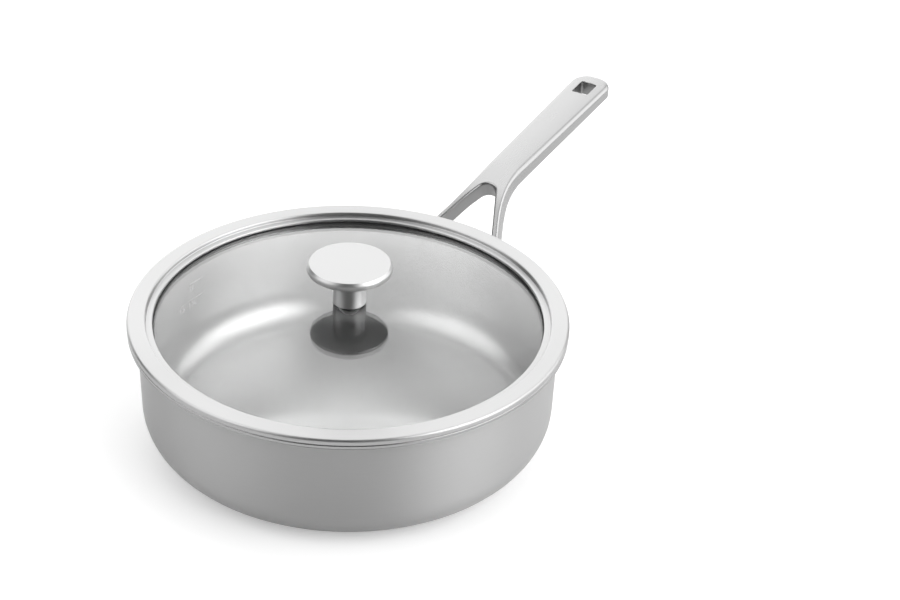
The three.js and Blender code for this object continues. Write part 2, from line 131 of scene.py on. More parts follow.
class Bench:
    """Modelling moves that the sub-assemblies share."""

    TURN_STEPS = 180
    MERGE_DISTANCE = 1e-6
    SMOOTH_ANGLE = math.radians(40.0)

    @staticmethod
    def clear_selection() -> None:
        """Deselects everything, the frame's own nodes included."""
        bpy.ops.object.select_all(action="DESELECT")

    @classmethod
    def take(cls, *pieces: bpy.types.Object) -> None:
        """Selects some pieces alone and makes the first of them active.

        Args:
            pieces: The pieces.
        """
        cls.clear_selection()
        for piece in pieces:
            piece.select_set(True)
        bpy.context.view_layer.objects.active = pieces[0]

    @classmethod
    def first_vertex(cls, name: str, place: Vector) -> bpy.types.Object:
        """Starts a piece as one vertex, and leaves it in edit mode.

        Args:
            name: The new piece's name.
            place: Where the vertex goes.

        Returns:
            The new piece.
        """
        cls.clear_selection()
        bpy.ops.mesh.primitive_plane_add(size=MM)
        piece = bpy.context.object
        piece.name = piece.data.name = name
        bpy.ops.object.mode_set(mode="EDIT")
        bpy.ops.mesh.select_mode(type="VERT")
        bpy.ops.mesh.merge(type="CENTER")
        bpy.ops.transform.translate(value=place)
        return piece

    @classmethod
    def line(cls, name: str, points: Sequence[Vector]) -> bpy.types.Object:
        """Draws a line by extruding one vertex from point to point, and stays in edit mode.

        Args:
            name: The new piece's name.
            points: The line's points.

        Returns:
            The new piece, with its last vertex selected.
        """
        piece = cls.first_vertex(name, points[0])
        for a, b in pairwise(points):
            bpy.ops.mesh.extrude_vertices_move(TRANSFORM_OT_translate={"value": b - a})
        return piece

    @classmethod
    def turned(cls, name: str, section: Sequence[Corner], closed: bool) -> bpy.types.Object:
        """Turns a section about the pan's axis into a closed piece.

        Args:
            name: The new piece's name.
            section: The section's corners, as radius and height.
            closed: Whether the section closes on itself, clear of the axis.

        Returns:
            The finished piece.
        """
        corners = [*section, section[0]] if closed else list(section)
        piece = cls.line(name, [Vector((p.x, 0.0, p.y)) for p in rounded(corners)])
        bpy.ops.mesh.select_all(action="SELECT")
        bpy.ops.mesh.spin(steps=cls.TURN_STEPS, angle=2 * math.pi, center=(0, 0, 0), axis=(0, 0, 1))
        bpy.ops.mesh.select_all(action="SELECT")
        bpy.ops.mesh.remove_doubles(threshold=cls.MERGE_DISTANCE)
        bpy.ops.mesh.normals_make_consistent(inside=False)
        bpy.ops.object.mode_set(mode="OBJECT")
        cls.smooth(piece)
        return piece

    @classmethod
    def modify(cls, piece: bpy.types.Object, kind: str, **settings: object) -> None:
        """Adds one modifier to a piece and applies it.

        Args:
            piece: The piece.
            kind: The modifier's type.
            settings: The modifier's own settings.
        """
        cls.take(piece)
        modifier = piece.modifiers.new(kind.lower(), kind)
        for key, value in settings.items():
            setattr(modifier, key, value)
        bpy.ops.object.modifier_apply(modifier=modifier.name)

    @classmethod
    def cut(cls, piece: bpy.types.Object, cutter: bpy.types.Object) -> None:
        """Cuts a piece with a cutter, which is then thrown away."""
        cls.modify(piece, "BOOLEAN", object=cutter, operation="DIFFERENCE", solver="EXACT")
        bpy.data.objects.remove(cutter)

    @classmethod
    def smooth(cls, piece: bpy.types.Object) -> None:
        """Shades a piece smooth, with flat faces kept flat beside their rounds.

        Args:
            piece: The piece.
        """
        cls.take(piece)
        bpy.ops.object.shade_smooth_by_angle(angle=cls.SMOOTH_ANGLE)
        cls.modify(piece, "WEIGHTED_NORMAL", keep_sharp=True)

    @staticmethod
    def select(
        piece: bpy.types.Object, kind: Element, test: Callable[[object], bool], keep: bool = False
    ) -> None:
        """Selects elements of a piece in edit mode by a test of their place.

        Args:
            piece: The piece, in edit mode.
            kind: The kind of element.
            test: Says whether an element is selected.
            keep: Whether the test narrows the present selection instead of starting a new one.
        """
        bpy.ops.mesh.select_mode(type=kind.value)
        mesh = bmesh.from_edit_mesh(piece.data)
        elements = {Element.POINT: mesh.verts, Element.EDGE: mesh.edges, Element.FACE: mesh.faces}[kind]
        chosen = [e for e in elements if (e.select or not keep) and test(e)]
        bpy.ops.mesh.select_all(action="DESELECT")
        for element in chosen:
            element.select_set(True)
        mesh.select_flush_mode()
        bmesh.update_edit_mesh(piece.data)


class NodeSheet:
    """A node tree with short ways to add and join nodes."""

    NOISE_ROUGHNESS = 0.6
    MIX_LOW = 6
    MIX_HIGH = 7
    MIX_COLOUR = 2

    def __init__(self, tree: bpy.types.NodeTree) -> None:
        """Takes the tree to work on."""
        self.tree = tree

    def fill(self, node: bpy.types.Node, inputs: Inputs) -> None:
        """Sets a node's inputs, or joins them to other nodes.

        Args:
            node: The node.
            inputs: A value, or a socket to join, for each named input.
        """
        for key, value in inputs.items():
            if isinstance(value, bpy.types.NodeSocket):
                self.tree.links.new(value, node.inputs[key])
            else:
                node.inputs[key].default_value = value

    def add(self, kind: str, inputs: Inputs | None = None, **settings: object) -> bpy.types.Node:
        """Adds a node.

        Args:
            kind: The node's type.
            inputs: A value, or a socket to join, for each named input.
            settings: The node's own settings.

        Returns:
            The new node.
        """
        node = self.tree.nodes.new(kind)
        for key, value in settings.items():
            setattr(node, key, value)
        self.fill(node, inputs or {})
        return node

    def math(self, operation: str, *values: object) -> bpy.types.NodeSocket:
        """Adds a Math node and gives its result."""
        return self.add("ShaderNodeMath", dict(enumerate(values)), operation=operation).outputs[0]

    def swing(self, factor: bpy.types.NodeSocket, middle: float, width: float) -> bpy.types.NodeSocket:
        """Gives a number that swings about a middle as a factor swings about one half."""
        return self.math("MULTIPLY_ADD", factor, width, middle - width / 2)

    def shades(self, factor: bpy.types.NodeSocket, low: float, high: float) -> bpy.types.NodeSocket:
        """Mixes two greys by a factor and gives the colour."""
        inputs = {0: factor, self.MIX_LOW: grey(low), self.MIX_HIGH: grey(high)}
        return self.add("ShaderNodeMix", inputs, data_type="RGBA").outputs[self.MIX_COLOUR]

    def relief(self, height: bpy.types.NodeSocket, distance: float) -> bpy.types.NodeSocket:
        """Raises a surface by a height times a distance and gives its normal."""
        inputs = {"Height": height, "Strength": 1.0, "Distance": distance}
        return self.add("ShaderNodeBump", inputs).outputs[0]

    def noise(self, vector: bpy.types.NodeSocket, detail: float) -> bpy.types.NodeSocket:
        """Adds a noise texture of unit scale and gives its factor, which swings about one half."""
        inputs = {"Vector": vector, "Scale": 1.0, "Detail": detail, "Roughness": self.NOISE_ROUGHNESS}
        return self.add("ShaderNodeTexNoise", inputs).outputs[0]

    def place(self, group: bpy.types.ShaderNodeTree, **numbers: float) -> bpy.types.NodeSocket:
        """Lays a shared group on the piece's own coordinates.

        Args:
            group: The group.
            numbers: The values of its number inputs.

        Returns:
            The group's factor.
        """
        own = self.add("ShaderNodeTexCoord").outputs["Object"]
        return self.add("ShaderNodeGroup", {"Vector": own, **numbers}, node_tree=group).outputs[0]


class Grain:
    """Shader groups for surface effects that several finishes use."""

    STREAK_DETAIL = 4.0
    MARK_DETAIL = 3.0

    @staticmethod
    def _group(
        name: str, inputs: Sequence[str], output: str
    ) -> tuple[NodeSheet, bpy.types.Node, bpy.types.Node]:
        """Starts a group with a vector input, number inputs and one number output.

        Args:
            name: The group's name.
            inputs: The names of its number inputs.
            output: The name of its output.

        Returns:
            Its sheet, its input node and its output node.
        """
        tree = bpy.data.node_groups.new(name, "ShaderNodeTree")
        tree.interface.new_socket("Vector", in_out="INPUT", socket_type="NodeSocketVector")
        for socket in inputs:
            tree.interface.new_socket(socket, in_out="INPUT", socket_type="NodeSocketFloat")
        tree.interface.new_socket(output, in_out="OUTPUT", socket_type="NodeSocketFloat")
        sheet = NodeSheet(tree)
        return sheet, sheet.add("NodeGroupInput"), sheet.add("NodeGroupOutput")

    @classmethod
    def brushed(cls, brushing: Brushing) -> bpy.types.ShaderNodeTree:
        """Fine streaks left by brushing, as a factor about one half.

        Args:
            brushing: The way that the streaks run.

        Returns:
            The group, with inputs Lines, in streaks per metre, and Run, how often a streak changes.
        """
        name = f"brushed_{brushing.name.lower()}"
        if name in bpy.data.node_groups:
            return bpy.data.node_groups[name]
        sheet, given, put = cls._group(name, ["Lines", "Run"], "Streak")
        split = sheet.add("ShaderNodeSeparateXYZ", {0: given.outputs["Vector"]}).outputs
        lines, run = given.outputs["Lines"], given.outputs["Run"]
        if brushing is Brushing.ROUND:
            flat = sheet.add("ShaderNodeCombineXYZ", {"X": split["X"], "Y": split["Y"]}).outputs[0]
            radius = sheet.add("ShaderNodeVectorMath", {0: flat}, operation="LENGTH").outputs["Value"]
            outward = sheet.add("ShaderNodeVectorMath", {0: flat}, operation="NORMALIZE").outputs[0]
            turn = sheet.add("ShaderNodeSeparateXYZ", {0: outward}).outputs
            across = sheet.math("ADD", radius, split["Z"])
            parts = [(turn["X"], run), (turn["Y"], run), (across, lines)]
        else:
            parts = [(split["X"], run), (split["Y"], lines), (split["Z"], lines)]
        scaled = [sheet.math("MULTIPLY", *part) for part in parts]
        vector = sheet.add("ShaderNodeCombineXYZ", dict(enumerate(scaled))).outputs[0]
        sheet.fill(put, {"Streak": sheet.noise(vector, cls.STREAK_DETAIL)})
        return sheet.tree

    @classmethod
    def handled(cls) -> bpy.types.ShaderNodeTree:
        """Soft cloudy marks left by wiping and handling, as a factor about one half.

        Returns:
            The group, with the input Size, the marks' size in metres.
        """
        name = "handled"
        if name in bpy.data.node_groups:
            return bpy.data.node_groups[name]
        sheet, given, put = cls._group(name, ["Size"], "Mark")
        near = sheet.math("DIVIDE", 1.0, given.outputs["Size"])
        inputs = {0: given.outputs["Vector"], "Scale": near}
        scaled = sheet.add("ShaderNodeVectorMath", inputs, operation="SCALE").outputs[0]
        sheet.fill(put, {"Mark": sheet.noise(scaled, cls.MARK_DETAIL)})
        return sheet.tree


@dataclass(frozen=True)
class Finish:
    """What every finish has: a name, a record slot and a material made once."""

    name: str
    slot: str

    def material(self) -> bpy.types.Material:
        """Gives the finish's material, made at its first use."""
        return bpy.data.materials.get(self.name) or self._make()

    def _make(self) -> bpy.types.Material:
        """Makes the material.

        Returns:
            The new material.
        """
        material = bpy.data.materials.new(self.name)
        material.use_nodes = True
        sheet = NodeSheet(material.node_tree)
        self._dress(sheet, material.node_tree.nodes["Principled BSDF"])
        return material

    def _dress(self, sheet: NodeSheet, shader: bpy.types.Node) -> None:
        """Sets up the material's own nodes.

        Args:
            sheet: The material's node tree.
            shader: Its Principled shader.
        """
        raise NotImplementedError


@dataclass(frozen=True)
class Steel(Finish):
    """Stainless steel with a brushed grain."""

    tone: float = 0.45
    roughness: float = 0.3
    anisotropy: float = 0.5
    brushing: Brushing = Brushing.ROUND
    lines: float = 2600.0
    run: float = 9.0
    streak_tone: float = 0.1
    streak_roughness: float = 0.12
    relief: float = 0.012 * MM
    mark_size: float = 45.0 * MM
    mark_roughness: float = 0.06
    across_grain: float = 0.25

    def _dress(self, sheet: NodeSheet, shader: bpy.types.Node) -> None:
        """Joins the grain to colour, roughness and relief.

        Args:
            sheet: The material's node tree.
            shader: Its Principled shader.
        """
        streak = sheet.place(Grain.brushed(self.brushing), Lines=self.lines, Run=self.run)
        mark = sheet.place(Grain.handled(), Size=self.mark_size)
        half = self.streak_tone / 2
        streaked = sheet.swing(streak, self.roughness, self.streak_roughness)
        marked = sheet.swing(mark, 0.0, self.mark_roughness)
        looks = {
            "Base Color": sheet.shades(streak, self.tone * (1 - half), self.tone * (1 + half)),
            "Roughness": sheet.math("ADD", streaked, marked),
            "Normal": sheet.relief(streak, self.relief),
            "Metallic": 1.0,
            "Anisotropic": self.anisotropy,
        }
        if self.brushing is Brushing.ROUND:
            tangent = sheet.add("ShaderNodeTangent", direction_type="RADIAL", axis="Z")
            looks |= {"Tangent": tangent.outputs[0], "Anisotropic Rotation": self.across_grain}
        sheet.fill(shader, looks)


@dataclass(frozen=True)
class Glass(Finish):
    """Clear tempered glass, which light passes without a dark shadow."""

    tint: tuple[float, float, float] = (0.985, 0.99, 0.988)
    ior: float = 1.72
    haze: float = 0.006
    mark_size: float = 30.0 * MM

    def _dress(self, sheet: NodeSheet, shader: bpy.types.Node) -> None:
        """Makes the glass clear, with the faintest wiping marks.

        Args:
            sheet: The material's node tree.
            shader: Its Principled shader.
        """
        mark = sheet.place(Grain.handled(), Size=self.mark_size)
        looks = {
            "Base Color": (*self.tint, 1.0),
            "Roughness": sheet.math("MULTIPLY", mark, self.haze),
            "Metallic": 0.0,
            "Transmission Weight": 1.0,
            "IOR": self.ior,
        }
        sheet.fill(shader, looks)
        clear = sheet.add("ShaderNodeBsdfTransparent", {"Color": (*self.tint, 1.0)})
        ray = sheet.add("ShaderNodeLightPath").outputs["Is Shadow Ray"]
        mix = sheet.add("ShaderNodeMixShader", {0: ray, 1: shader.outputs[0], 2: clear.outputs[0]})
        sheet.fill(sheet.tree.nodes["Material Output"], {"Surface": mix.outputs[0]})


@dataclass(frozen=True)
class Rubber(Finish):
    """Matt black silicone."""

    tone: float = 0.034
    darkest: float = 0.7
    lightest: float = 1.4
    roughness: float = 0.55
    speck_roughness: float = 0.2
    speck_size: float = 0.8 * MM
    relief: float = 0.02 * MM

    def _dress(self, sheet: NodeSheet, shader: bpy.types.Node) -> None:
        """Gives the rubber a fine speckle in tone and relief.

        Args:
            sheet: The material's node tree.
            shader: Its Principled shader.
        """
        speck = sheet.place(Grain.handled(), Size=self.speck_size)
        looks = {
            "Base Color": sheet.shades(speck, self.tone * self.darkest, self.tone * self.lightest),
            "Roughness": sheet.swing(speck, self.roughness, self.speck_roughness),
            "Normal": sheet.relief(speck, self.relief),
        }
        sheet.fill(shader, looks)


WALL_STEEL = Steel("satin_wall_steel", "pan_steel", tone=0.46, roughness=0.45, anisotropy=0.85)
FLOOR_STEEL = Steel(
    "spun_inner_steel",
    "pan_steel",
    tone=0.4,
    roughness=0.22,
    anisotropy=0.96,
    streak_tone=0.03,
    streak_roughness=0.03,
    relief=0.0008 * MM,
    mark_roughness=0.02,
)
ETCHED_STEEL = Steel("etched_scale_steel", "pan_steel", tone=0.82, roughness=0.45, anisotropy=0.0)
RING_STEEL = Steel(
    "fine_ring_steel", "lid_steel", tone=0.465, roughness=0.34, anisotropy=0.8, streak_tone=0.05
)
KNOB_STEEL = Steel(
    "satin_knob_steel", "knob_steel", tone=0.448, roughness=0.3, anisotropy=0.0, streak_tone=0.05
)
STEM_STEEL = Steel(
    "turned_stem_steel", "knob_steel", tone=0.6, roughness=0.48, anisotropy=0.98, streak_tone=0.05
)
EDGE_STEEL = Steel(
    "turned_edge_steel", "knob_steel", tone=0.52, roughness=0.37, anisotropy=0.4, streak_tone=0.05
)
HANDLE_STEEL = Steel(
    "satin_handle_steel",
    "handle_steel",
    tone=0.385,
    roughness=0.27,
    anisotropy=0.0,
    brushing=Brushing.ALONG,
    lines=900.0,
    run=18.0,
    streak_tone=0.03,
    streak_roughness=0.02,
    relief=0.0004 * MM,
)
# Painted shade: a darker tone for the upright faces inside the fork and the hanging hole, with a rougher
# grain as well
SHADED_RECESS_STEEL = Steel(
    "cast_handle_steel",
    "handle_steel",
    tone=0.29,
    roughness=0.36,
    anisotropy=0.0,
    brushing=Brushing.ALONG,
)
CORE_METAL = Steel("rolled_aluminium", "pan_core", tone=0.6, roughness=0.45)
SCREW_STEEL = Steel("plain_screw_steel", "fastener_steel", tone=0.42, roughness=0.3)
SEAL_RUBBER = Rubber("black_silicone", "seal_rubber")
LID_GLASS = Glass("clear_tempered_glass", "lid_glass")


class Turning(NamedTuple):
    """A round piece: its name, the node that it stands for, its section and its finish."""

    name: str
    node: str
    section: Sequence[Corner]
    finish: Finish


@dataclass
class SubAssembly:
    """A group of pieces that ride on one body."""

    body: str
    pieces: list[bpy.types.Object] = field(default_factory=list, init=False)

    def finish_piece(self, piece: bpy.types.Object, node: str, finish: Finish) -> None:
        """Dresses a piece and lets it stand for its node."""
        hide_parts(node)
        self.dress(piece, finish)

    def dress(self, piece: bpy.types.Object, finish: Finish) -> None:
        """Gives a piece its finish and lets it ride on the body.

        Args:
            piece: The modelled piece.
            finish: Its finish.
        """
        piece.data.materials.clear()
        piece.data.materials.append(finish.material())
        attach(piece, self.body)
        self.pieces.append(piece)

    @staticmethod
    def add_finish(
        piece: bpy.types.Object, finish: Finish, test: Callable[[bpy.types.MeshPolygon], bool]
    ) -> None:
        """Gives some faces of a dressed piece a second finish.

        Args:
            piece: The dressed piece.
            finish: The second finish.
            test: Says whether a face takes it.
        """
        piece.data.materials.append(finish.material())
        for face in piece.data.polygons:
            face.material_index = int(test(face))

    def turn_pieces(self, plan: Sequence[Turning], closed: bool) -> None:
        """Turns each piece of a plan, dresses it and lets it stand for its node."""
        for name, node, section, finish in plan:
            self.finish_piece(Bench.turned(name, section, closed), node, finish)

    def build(self) -> None:
        """Models and dresses every piece."""
        raise NotImplementedError


@dataclass
class Vessel(SubAssembly):
    """The pan's three bonded sheets."""

    body: str = "pan"
    wall_radius: float = 122.5 * MM
    wall_draft: float = 1.0 * MM
    corner_radius: float = 23.0 * MM
    lip_bend: float = 1.2 * MM
    outer_sheet: float = 0.5 * MM
    core_sheet: float = 1.4 * MM
    inner_sheet: float = 0.5 * MM
    bond: float = 0.1 * MM
    core_setback: float = 1.2 * MM
    edge_gap: float = 0.3 * MM
    edge_round: float = 0.15 * MM
    lip_round: float = 0.6 * MM

    def __post_init__(self) -> None:
        """Takes the lip's size from the frame."""
        self.lip_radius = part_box("pan_outer_ply")[1].x
        self.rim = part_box("pan_inner_ply")[1].z
        self.thickness = self.outer_sheet + self.core_sheet + self.inner_sheet + 2 * self.bond

    def wall(self, depth: float, height: float) -> float:
        """The wall's radius, which grows with height.

        Args:
            depth: How far the surface lies under the wall's outside.
            height: The height above the base.

        Returns:
            The radius.
        """
        top = self.rim - self.thickness - self.lip_bend
        lean = self.wall_draft / (top - self.corner_radius)
        return self.wall_radius - depth - lean * (top - height)

    def skin(self, depth: float, edge: float) -> list[Corner]:
        """The vessel's surface from the middle of the base to the edge of the lip.

        Args:
            depth: How far the surface lies under the outside.
            edge: The radius where it ends.

        Returns:
            The corners of its section.
        """
        lip = self.rim - self.thickness + depth
        return [
            Corner(0.0, depth),
            Corner(self.wall(depth, depth), depth, self.corner_radius - depth),
            Corner(self.wall(depth, lip), lip, self.lip_bend + depth),
            Corner(edge, lip, self.edge_round),
        ]

    def sheet(self, outside: float, inside: float, edge: float) -> list[Corner]:
        """The section of a sheet between two depths, ending at one edge."""
        return [*self.skin(outside, edge), *reversed(self.skin(inside, edge))]

    def inner(self) -> list[Corner]:
        """The section of the inner sheet, which turns down over the core's edge.

        Returns:
            The corners of its section.
        """
        cover = self.lip_radius - self.core_setback + self.edge_gap
        cover_bottom = self.rim - self.thickness + self.outer_sheet + self.bond
        top = self.skin(self.thickness, self.lip_radius)
        top[-1] = top[-1]._replace(round=self.lip_round)
        return [
            *self.skin(self.thickness - self.inner_sheet, cover),
            Corner(cover, cover_bottom),
            Corner(self.lip_radius, cover_bottom, self.edge_round),
            *reversed(top),
        ]

    def build(self) -> None:
        """Models the three sheets."""
        core = self.outer_sheet + self.bond
        outer = self.sheet(0.0, self.outer_sheet, self.lip_radius)
        middle = self.sheet(core, core + self.core_sheet, self.lip_radius - self.core_setback)
        plan = [
            Turning("pan_outer", "pan_outer_ply", outer, WALL_STEEL),
            Turning("pan_core", "pan_core_ply", middle, CORE_METAL),
            Turning("pan_inner", "pan_inner_ply", self.inner(), FLOOR_STEEL),
        ]
        self.turn_pieces(plan, closed=False)


class Mark(NamedTuple):
    """A line of the measuring scale: its height, its bearing and length, and the words under it."""

    height: float
    bearing: float
    length: float
    words: str


@dataclass
class MeasuringScale(SubAssembly):
    """The faint etched scale on the inner wall, drawn flat and laid on the wall."""

    body: str = "pan"
    vessel: Vessel = field(default_factory=Vessel)
    stand_off: float = 0.06 * MM
    line_width: float = 0.35 * MM
    line_step: float = 1.5 * MM
    word_size: float = 4.6 * MM
    word_drop: float = 4.4 * MM
    marks: tuple[Mark, ...] = (
        Mark(50.6 * MM, math.radians(86.8), 10.5 * MM, "2L"),
        Mark(39.9 * MM, math.radians(87.7), 13.0 * MM, "1.5L"),
        Mark(39.6 * MM, math.radians(92.0), 5.6 * MM, "1.5"),
    )

    def build(self) -> None:
        """Models every line and word as one piece."""
        parts = [part for mark in self.marks for part in (self.line(mark), self.word(mark))]
        Bench.take(*parts)
        bpy.ops.object.join()
        scale = bpy.context.object
        scale.name = scale.data.name = "pan_measuring_scale"
        self.dress(scale, ETCHED_STEEL)

    def line(self, mark: Mark) -> bpy.types.Object:
        """Draws a mark's line and lays it on the wall.

        Args:
            mark: The mark.

        Returns:
            The line.
        """
        count = round(mark.length / self.line_step)
        points = [Vector((mark.length * i / count, 0.0, 0.0)) for i in range(count + 1)]
        line = Bench.line("scale_line", points)
        bpy.ops.mesh.select_all(action="SELECT")
        bpy.ops.mesh.extrude_edges_move(TRANSFORM_OT_translate={"value": (0.0, self.line_width, 0.0)})
        bpy.ops.object.mode_set(mode="OBJECT")
        self.lay(line, mark, 0.0)
        return line

    def word(self, mark: Mark) -> bpy.types.Object:
        """Writes a mark's words and lays them on the wall.

        Args:
            mark: The mark.

        Returns:
            The words, as a mesh.
        """
        Bench.clear_selection()
        bpy.ops.object.text_add()
        word = bpy.context.object
        word.data.body = mark.words
        word.data.size = self.word_size
        bpy.ops.object.convert(target="MESH")
        self.lay(bpy.context.object, mark, self.word_drop)
        return bpy.context.object

    def lay(self, flat: bpy.types.Object, mark: Mark, drop: float) -> None:
        """Bends a flat drawing round the wall at a mark's place.

        Args:
            flat: The drawing, along X and up Y.
            mark: The mark.
            drop: How far the drawing's foot lies below the mark's height.
        """
        for vertex in flat.data.vertices:
            height = mark.height - drop + vertex.co.y
            radius = self.vessel.wall(self.vessel.thickness, height) - self.stand_off
            turn = mark.bearing - vertex.co.x / radius
            vertex.co = (radius * math.cos(turn), radius * math.sin(turn), height)


@dataclass
class Handle(SubAssembly):
    """The forked handle: its plan is drawn flat, thickened, rounded and bent along its side view."""

    body: str = "pan"
    wall_radius: float = 122.5 * MM
    foot_height: float = 55.7 * MM
    thickness: float = 13.2 * MM
    tip_thickness: float = 9.7 * MM
    crown: float = 1.3 * MM
    crown_lead: float = 25.0 * MM
    waist: float = 11.45 * MM
    tip_half: float = 14.05 * MM
    tip_corner: float = 11.0 * MM
    tip_reach: float = 0.4 * MM
    grip_tilt: float = math.radians(4.71)
    arm_tilt: float = math.radians(31.3)
    arm_run: float = 55.3 * MM
    bend_radius: float = 94.0 * MM
    foot_spread: float = 30.4 * MM
    arm_splay: float = math.radians(24.66)
    arm_width: float = 4.4 * MM
    flare_radius: float = 87.0 * MM
    crotch_radius: float = 6.5 * MM
    crotch_margin: float = 1.0 * MM
    shoulder_round: float = 3.4 * MM
    arm_round: float = 1.7 * MM
    arm_lead: float = 30.0 * MM
    under_round: float = 3.0 * MM
    fork_round: float = 1.6 * MM
    hole_length: float = 16.2 * MM
    hole_width: float = 12.3 * MM
    hole_corner: float = 1.8 * MM
    hole_corner_steps: int = 6
    hole_draft: float = 0.9
    hole_margin: float = 10.8 * MM
    rim_round: float = 0.5 * MM
    rim_steps: int = 3
    rim_margin: float = 1.0 * MM
    rim_sharpness: float = math.radians(60.0)
    # Faces inside the fork and the hole that are steeper than this take the painted shade
    painted_shade_slope: float = 0.65
    wall_gap: float = 0.05 * MM
    root_reach: float = 9.0 * MM
    root_margin: float = 0.1 * MM
    round_steps: int = 7
    plan_step: float = 5.0
    cut_step: float = 4.0 * MM
    cut_lead: float = 3.2 * MM
    lengthwise_cuts: tuple[float, ...] = (-6.7 * MM, -3.2 * MM, 0.0, 3.2 * MM, 6.7 * MM)

    def __post_init__(self) -> None:
        """Works out the bend, the flare, the fork and the hole from the sizes."""
        self.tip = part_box("handle")[1].x + self.tip_reach
        self.wall_x = math.sqrt(self.wall_radius**2 - self.foot_spread**2)
        self.root = self.wall_x - self.root_reach
        arm_top = self.foot_height + self.arm_run * math.tan(self.arm_tilt)
        bend = Vector((self.wall_x + self.arm_run, arm_top))
        reach = self.bend_radius * math.tan((self.arm_tilt - self.grip_tilt) / 2)
        self.bend_start = bend - reach * Vector((math.cos(self.arm_tilt), math.sin(self.arm_tilt)))
        self.bend_end = bend + reach * Vector((math.cos(self.grip_tilt), math.sin(self.grip_tilt)))
        down = Vector((math.sin(self.arm_tilt), -math.cos(self.arm_tilt)))
        self.bend_centre = self.bend_start + self.bend_radius * down
        self.waist_x = bend.x
        self.widen = (self.tip_half - self.waist) / (self.tip - bend.x)
        self.splay = math.tan(self.arm_splay)
        self.half_arm = self.arm_width / 2 / math.cos(self.arm_splay)
        self.fork_point = self.wall_x + (self.foot_spread - self.half_arm) / self.splay
        self.crotch = self.fork_point - self.crotch_radius * (1 / math.sin(self.arm_splay) - 1)
        self.hole_middle = self.tip - self.hole_margin - self.hole_length / 2

    def half_width(self, x: float) -> float:
        """The grip's half width at a distance from the pan's axis."""
        return self.waist + self.widen * (x - self.waist_x)

    def arm(self, x: float) -> float:
        """How far the middle of an arm lies from the handle's middle plane."""
        return self.foot_spread - self.splay * (x - self.wall_x)

    def in_fork(self, place: Vector, past_crotch: float) -> bool:
        """Whether a place lies between the arms, or a little past where they part."""
        return abs(place.y) < self.arm(place.x) and place.x < self.crotch + past_crotch

    def slope(self, x: float) -> float:
        """The angle at which the top rises at a distance from the pan's axis."""
        lean = (self.bend_centre.x - x) / self.bend_radius
        return math.asin(min(max(lean, math.sin(self.grip_tilt)), math.sin(self.arm_tilt)))

    def top(self, x: float) -> float:
        """The height of the top's middle line.

        Args:
            x: The distance from the pan's axis.

        Returns:
            The height above the base.
        """
        if x <= self.bend_start.x:
            return self.bend_start.y + (x - self.bend_start.x) * math.tan(self.arm_tilt)
        if x >= self.bend_end.x:
            return self.bend_end.y + (x - self.bend_end.x) * math.tan(self.grip_tilt)
        return self.bend_centre.y + self.bend_radius * math.cos(self.slope(x))

    def bent(self, place: Vector) -> Vector:
        """Tapers, crowns and bends the flat handle.

        Args:
            place: A point of the flat handle.

        Returns:
            Where the point lies in the finished handle.
        """
        along = (place.x - self.root) / (self.tip - self.root)
        depth = -place.z * (1 + (self.tip_thickness / self.thickness - 1) * along)
        grip = share((place.x - self.crotch) / self.crown_lead)
        across = place.y / self.half_width(place.x)
        depth += grip * self.crown * across**2 * (1 + place.z / self.thickness)
        slope = self.slope(place.x)
        x = place.x + depth * math.sin(slope)
        z = self.top(place.x) - depth * math.cos(slope)
        return Vector((x, place.y, z))

    def plan(self) -> list[Vector]:
        """The handle's outline seen from above, round both arms and the fork.

        Returns:
            The outline's points, on the flat handle's top.
        """
        outer, inner = (self.arm(self.root) + side * self.half_arm for side in (1, -1))
        flare = self.wall_x + (self.foot_spread + self.half_arm - self.waist) / self.splay
        corners = [
            Corner(self.root, outer),
            Corner(flare, self.half_width(flare), self.flare_radius),
            Corner(self.tip, self.tip_half, self.tip_corner),
            Corner(self.tip, -self.tip_half, self.tip_corner),
            Corner(flare, -self.half_width(flare), self.flare_radius),
            Corner(self.root, -outer),
            Corner(self.root, -inner),
            Corner(self.fork_point, 0.0, self.crotch_radius),
            Corner(self.root, inner),
        ]
        return [Vector((p.x, p.y, 0.0)) for p in rounded(corners, self.plan_step)]

    def build(self) -> None:
        """Models the handle."""
        handle = Bench.line("pan_handle", self.plan())
        bpy.ops.mesh.select_all(action="SELECT")
        bpy.ops.mesh.edge_face_add()
        self.face_up(handle)
        bpy.ops.object.mode_set(mode="OBJECT")
        Bench.modify(handle, "SOLIDIFY", thickness=self.thickness, offset=-1.0)
        self.round_edges(handle)
        bpy.ops.object.mode_set(mode="EDIT")
        self.bend(handle)
        self.cut_feet(handle)
        bpy.ops.object.mode_set(mode="OBJECT")
        self.cut_hole(handle)
        Bench.smooth(handle)
        self.finish_piece(handle, "handle", HANDLE_STEEL)
        # The upright faces inside the fork and the hole take a darker steel as painted shade
        self.add_finish(handle, SHADED_RECESS_STEEL, self.is_painted_shade)

    def is_painted_shade(self, face: bpy.types.MeshPolygon) -> bool:
        """Whether a face takes the painted shade, a darker and rougher steel: the upright ones inside the
        fork and the hole.

        Args:
            face: A face of the finished handle.

        Returns:
            Whether it takes the painted shade.
        """
        place = face.center
        beside = abs(place.x - self.hole_middle), abs(place.y)
        hole = beside[0] < self.hole_length / 2 and beside[1] < self.hole_width / 2
        inside = hole or self.in_fork(place, self.crotch_radius)
        return inside and abs(face.normal.z) < self.painted_shade_slope

    @staticmethod
    def face_up(handle: bpy.types.Object) -> None:
        """Turns the flat handle's face up.

        Args:
            handle: The flat handle, in edit mode.
        """
        mesh = bmesh.from_edit_mesh(handle.data)
        mesh.normal_update()
        if sum(f.normal.z for f in mesh.faces) < 0:
            bpy.ops.mesh.flip_normals()

